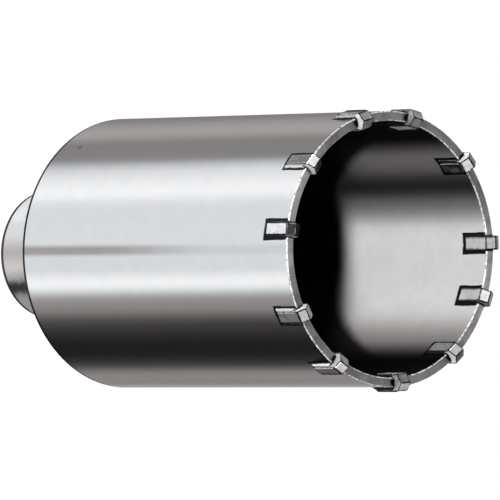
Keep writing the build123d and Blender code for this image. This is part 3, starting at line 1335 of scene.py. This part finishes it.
def weld_metal():
    """Dull weld with a brown and blue heat tint and burnt specks."""
    material, tree, shader, place = finish_material("weld_metal")
    clouds = pattern(tree, MOTTLING, place, **WELD_MOTTLING)
    colour = mix(tree, clouds["Clouds"], BROWN_TINT, BLUE_TINT)
    colour = mix(tree, clouds["Specks"], colour, BURNT_SPECK)
    tree.links.new(colour, shader.inputs["Base Color"])
    tree.links.new(step(tree, clouds["Clouds"], 0, 1, *WELD_ROUGHNESS), shader.inputs["Roughness"])
    bump(tree, shader, clouds["Clouds"], WELD_BUMP)
    return material


def make_weld():
    """The weld bead, in place of the frame's smooth ring."""
    values = {
        "Radius": DISC_RADIUS,
        "Back": BOSS_LENGTH,
        "Leg": WELD_LEG + OVERLAP,
        "Crown": WELD_CROWN,
        "Scales": float(WELD_SCALES),
        "Material": weld_metal(),
    }
    mesh = grow("weld_bead", weld_tree(), values)
    shape = bmesh.new()
    shape.from_mesh(mesh)
    open_edges = face_outwards(shape)
    save_shape(shape, mesh)
    new_piece("weld_bead", mesh, "hub_weld")
    print("weld with", len(mesh.polygons), "faces,", open_edges, "open edges")


make_weld()

# %% [markdown]
# ## The carbide tips
# Each tip is a small block of sintered carbide. Its roof and its outer face are ground bright, its inner face
# is duller, and its sides are left as they came from the furnace. The frame has the blocks with razor-sharp
# edges. Real edges are a little broken, and burnt flux clings to them, which draws a dark outline round each
# face. Some faces are painted darker as shade, so that each tip shows its own lit and shaded faces.
#
# A wear mask that looks for edges while it renders would do for the outline, but it isn't the same from every
# side. So each block is copied, its triangles are joined to flat faces, its edges are bevelled, and its faces
# are inset by the width of the outline. A value on the points is then 1 at the edges and 0 in the middle of
# the faces, and runs smoothly between. Two more values, on the faces, tell how much painted shade each face
# carries and how far it is sintered.

# %% The carbide's colour
EDGE_ATTRIBUTE = "edge"
PAINTED_SHADE_ATTRIBUTE = "stain"
SEAT = RIM_TOP - 6.9 * MM
CARBIDE_COLOURS = (grey(0.68, 0.01), grey(0.82))
PIT_DARK = grey(0.35)
PIT_STRENGTH = 0.7
# Painted shade on some faces: how strongly it shows in patches, and its colour
PAINTED_SHADE_PATCHES = (1.05, 0.9)
PAINTED_FACE_SHADE_COLOUR = grey(0.01)
# Flux: less of it where a face is sintered, more at the tip's foot, and a ragged edge
SINTERED_LESS_FLUX = 0.35
FOOT_HEIGHTS = (SEAT + 0.75 * MM, SEAT + 0.35 * MM)
EDGE_RAGGEDNESS = -0.3
FLUX_STEP = (0.25, 0.6)
FLUX_ON_CARBIDE = grey(0.012)


def carbide_colour(tree, spot, clouds, sintered):
    """Bright carbide with pits, painted shade on some faces, and flux on its edges and foot."""
    colour = mix(tree, clouds["Clouds"], *CARBIDE_COLOURS)
    colour = multiply(tree, colour, PIT_DARK, times(tree, clouds["Specks"], PIT_STRENGTH))
    patches = step(tree, clouds["Clouds"], 0, 1, *PAINTED_SHADE_PATCHES)
    colour = mix(tree, times(tree, named_value(tree, PAINTED_SHADE_ATTRIBUTE), patches), colour, PAINTED_FACE_SHADE_COLOUR)
    edge = minus(tree, named_value(tree, EDGE_ATTRIBUTE), times(tree, sintered, SINTERED_LESS_FLUX))
    edge = larger(tree, edge, step(tree, spot.height, *FOOT_HEIGHTS))
    ragged = plus(tree, edge, times(tree, clouds["Clouds"], EDGE_RAGGEDNESS))
    return mix(tree, step(tree, ragged, *FLUX_STEP), colour, FLUX_ON_CARBIDE)


print("flux up to", round((FOOT_HEIGHTS[0] - SEAT) / MM, 2), "mm above a tip's foot")

# %% Carbide
SINTERED_ATTRIBUTE = "sintered"
GRINDING_MARKS_PER_METRE = 9000.0
CARBIDE_MOTTLING = {"Cloud_size": 0.0016, "Speck_size": 0.0005}
# The inner faces lie inside the second radius, and the roof lies above the second height
INNER_RADII = (30.0 * MM, 29.9 * MM)
EAVE = RIM_TOP + 0.7 * MM
ROOF_HEIGHTS = (EAVE, EAVE + 0.2 * MM)
# Roughness of the outer face between the two ends of the grain, of the roof, and of the dull faces
MARK_STEP = (0.25, 0.75)
GROUND_ROUGHNESS = (0.13, 0.19)
ROOF_ROUGHNESS = 0.09
DULL_ROUGHNESS = 0.5
GROUND_METALLIC = 0.97
INNER_METALLIC = 0.5
SINTERED_METALLIC = 0.25
MARK_DEPTH = 0.4e-6


def carbide():
    """Ground carbide with fine grinding marks, pits, and flux on its edges."""
    material, tree, shader, place = finish_material("carbide")
    grain = pattern(tree, TURNED_GRAIN, place, Grooves_per_metre=GRINDING_MARKS_PER_METRE)
    clouds = pattern(tree, MOTTLING, place, **CARBIDE_MOTTLING)
    spot = around_axis(tree, place)
    inner = step(tree, spot.radius, *INNER_RADII)
    sintered = named_value(tree, SINTERED_ATTRIBUTE)
    tree.links.new(carbide_colour(tree, spot, clouds, sintered), shader.inputs["Base Color"])
    rough = step(tree, grain["Grain"], *MARK_STEP, *GROUND_ROUGHNESS)
    rough = mix_value(tree, step(tree, spot.height, *ROOF_HEIGHTS), rough, ROOF_ROUGHNESS)
    rough = mix_value(tree, larger(tree, inner, sintered), rough, DULL_ROUGHNESS)
    tree.links.new(rough, shader.inputs["Roughness"])
    metallic = mix_value(tree, inner, GROUND_METALLIC, INNER_METALLIC)
    tree.links.new(mix_value(tree, sintered, metallic, SINTERED_METALLIC), shader.inputs["Metallic"])
    bump(tree, shader, grain["Grain"], MARK_DEPTH)
    return material


CARBIDE = carbide()
print("carbide with", len(CARBIDE.node_tree.nodes), "nodes")

# %% What each tip's faces are like
# How dark some tips' faces are painted as shade, by the tip's number
PAINTED_FACE_SHADES = {
    1: {"inner roof": 0.6, "side": 0.65},
    2: {"inner face": 0.55, "outer roof": 0.85},
    3: {"outer roof": 0.5, "side": 0.8},
    4: {"outer roof": 0.7},
    5: {"inner face": 0.97, "outer roof": 0.7},
    6: {"inner roof": 0.6, "outer roof": 0.4, "side": 0.75},
    7: {"inner roof": 0.75, "outer roof": 0.25, "side": 0.15, "outer face": 0.85},
    8: {"outer face": 0.62},
    11: {"outer face": 0.45, "inner roof": 0.5, "side": 0.4},
}
# How far faces are as sintered: the sides of all tips, and a part of one roof that wasn't ground well
SINTERED = {"side": 1.0}
BADLY_GROUND = {10: {"inner roof": 0.45}}


def tip_number(node):
    """The number at the end of a node's name."""
    return int(node.name[-2:])


def mark_faces(shape, number):
    """Writes on every face how dark its painted shade is and how far it is sintered."""
    shaded = shape.faces.layers.float.new(PAINTED_SHADE_ATTRIBUTE)
    sintered = shape.faces.layers.float.new(SINTERED_ATTRIBUTE)
    for face in shape.faces:
        kind = kind_of_face(face.calc_center_median(), face.normal)
        face[shaded] = PAINTED_FACE_SHADES.get(number, {}).get(kind, 0.0)
        face[sintered] = BADLY_GROUND.get(number, SINTERED).get(kind, SINTERED.get(kind, 0.0))


print(len(PAINTED_FACE_SHADES), "tips have stained faces")

# %% The tips, made
EDGE_BREAK = 0.07 * MM
EDGE_BAND = 0.34 * MM
FLAT_ANGLE = math.radians(1)
SHARP_ANGLE = math.radians(20)


def break_edges(shape):
    """Bevels the sharp edges, and gives back the faces that the bevel made."""
    sharp = [edge for edge in shape.edges if edge.calc_face_angle(0) > SHARP_ANGLE]
    settings = {"segments": 2, "profile": 0.5, "affect": "EDGES", "clamp_overlap": True}
    return set(bmesh.ops.bevel(shape, geom=sharp, offset=EDGE_BREAK, **settings)["faces"])


def mark_edges(shape, bevels):
    """Insets the large faces, and writes 1 on the points of the edges and 0 on the points inside."""
    layer = shape.verts.layers.float[EDGE_ATTRIBUTE]
    for vert in shape.verts:
        vert[layer] = 1.0
    least = (2 * EDGE_BAND) ** 2
    flats = [face for face in shape.faces if face not in bevels and face.calc_area() > least]
    bmesh.ops.inset_individual(shape, faces=flats, thickness=EDGE_BAND, use_even_offset=True)
    for face in flats:
        for vert in face.verts:
            vert[layer] = 0.0


def make_tip(node):
    """A tip with broken edges, in place of the frame's sharp one."""
    shape = bmesh.new()
    shape.from_mesh(node.data)
    join_points(shape)
    bmesh.ops.dissolve_limit(shape, angle_limit=FLAT_ANGLE, verts=shape.verts, edges=shape.edges)
    shape.verts.layers.float.new(EDGE_ATTRIBUTE)
    mark_edges(shape, break_edges(shape))
    mark_faces(shape, tip_number(node))
    name = node.name.replace("carbide_tip", "ground_tip")
    mesh = bpy.data.meshes.new(name)
    save_shape(shape, mesh)
    mesh.attributes.remove(mesh.attributes["custom_normal"])
    cover(mesh, CARBIDE)
    shade_by_angle(mesh)
    new_piece(name, mesh, node.name)
    return len(mesh.polygons)


print("faces of each tip:", [make_tip(node) for node in tip_nodes])

# %% [markdown]
# ## The braze
# Silver braze ran into the gap round each tip, and climbs the tip's sides as a fillet at both sides of the
# wall. Most of it is burnt black by the flux. Where it isn't, the fillets are bright and only their feet are
# burnt. The frame's fillets are crisp, which melted metal never is. They could be sculpted, eleven times
# over. A rule is quicker: each is remeshed on a fine grid of voxels and smoothed, so that its corners flow,
# as surface tension would draw them.

# %% Silver braze
BURNT_ATTRIBUTE = "burnt"
# How far the braze round some tips is burnt, by the tip's number; round the others it is burnt black
BURNT_SHARES = {5: 0.0, 7: 0.55, 8: 0.0, 10: 0.0, 11: 0.0}
OUTER_WALL = 33.0 * MM
BORE_WALL = 30.7 * MM
# Heights above the wall between which a fillet turns from bright to burnt
FOOT_STEP = (0.30 * MM, 0.16 * MM)
FOOT_RAGGEDNESS = -0.12 * MM
BURNT_SPECKS = 0.8
BRAZE_COLOURS = (grey(0.72), grey(0.008))
BRAZE_ROUGHNESS = (0.16, 0.6)
BRAZE_SPECULAR = 0.15
BRAZE_MOTTLING = {"Cloud_size": 0.0009, "Speck_size": 0.0004}
BRAZE_BUMP = 8e-6


def silver_braze():
    """Bright braze with burnt flux along its feet."""
    material, tree, shader, place = finish_material("silver_braze")
    clouds = pattern(tree, MOTTLING, place, **BRAZE_MOTTLING)
    spot = around_axis(tree, place)
    above_wall = larger(tree, minus(tree, spot.radius, OUTER_WALL), minus(tree, BORE_WALL, spot.radius))
    ragged = plus(tree, above_wall, times(tree, clouds["Clouds"], FOOT_RAGGEDNESS))
    burnt = larger(tree, step(tree, ragged, *FOOT_STEP), times(tree, clouds["Specks"], BURNT_SPECKS))
    burnt = larger(tree, burnt, named_value(tree, BURNT_ATTRIBUTE))
    tree.links.new(mix(tree, burnt, *BRAZE_COLOURS), shader.inputs["Base Color"])
    tree.links.new(step(tree, burnt, 0, 1, *BRAZE_ROUGHNESS), shader.inputs["Roughness"])
    tree.links.new(step(tree, burnt, 0, 1, 1.0, 0.0), shader.inputs["Metallic"])
    shader.inputs["Specular IOR Level"].default_value = BRAZE_SPECULAR
    bump(tree, shader, clouds["Clouds"], BRAZE_BUMP)
    return material


BRAZE = silver_braze()
print("braze with", len(BRAZE.node_tree.nodes), "nodes")

# %% The seams of braze, made
BRAZE_VOXEL = 0.11 * MM
BRAZE_SMOOTHING = 3
BRAZE_FLOW = 0.5


def melted(draft, name):
    """The mesh of a draft that was remeshed and smoothed."""
    remesh = draft.modifiers.new("melt", "REMESH")
    remesh.mode = "VOXEL"
    remesh.voxel_size = BRAZE_VOXEL
    remesh.use_smooth_shade = True
    smooth = draft.modifiers.new("flow", "SMOOTH")
    smooth.factor = BRAZE_FLOW
    smooth.iterations = BRAZE_SMOOTHING
    return plain_mesh(draft, name)


def make_braze(node):
    """A seam of braze with a melted skin, in place of the frame's crisp one."""
    shape = bmesh.new()
    shape.from_mesh(node.data)
    join_points(shape)
    crisp = bpy.data.meshes.new(node.name + "_crisp")
    save_shape(shape, crisp)
    mesh = melted(put(node.name + "_draft", crisp), node.name.replace("braze_seam", "melted_braze"))
    values = np.full(len(mesh.vertices), BURNT_SHARES.get(tip_number(node), 1.0))
    mesh.attributes.new(BURNT_ATTRIBUTE, "FLOAT", "POINT").data.foreach_set("value", values)
    cover(mesh, BRAZE)
    new_piece(mesh.name, mesh, node.name)
    return len(mesh.polygons)


seam_nodes = [node for name, node in sorted(nodes.items()) if name.startswith("braze_seam")]
print("faces of each seam:", [make_braze(node) for node in seam_nodes])

# %% [markdown]
# ## How the picture is worked out
# The Standard view shows the colours as they are, with white as white, while the usual film-like view would
# turn the background grey. Polished steel inside a cup mirrors itself again and again, which would fill the
# bore with light that the photograph doesn't have. So a reflection shows the studio and no second reflection:
# the number of glossy bounces is 0.

# %% View and bounces
bpy.context.scene.view_settings.view_transform = "Standard"
bpy.context.scene.cycles.glossy_bounces = 0
print("view", bpy.context.scene.view_settings.view_transform)
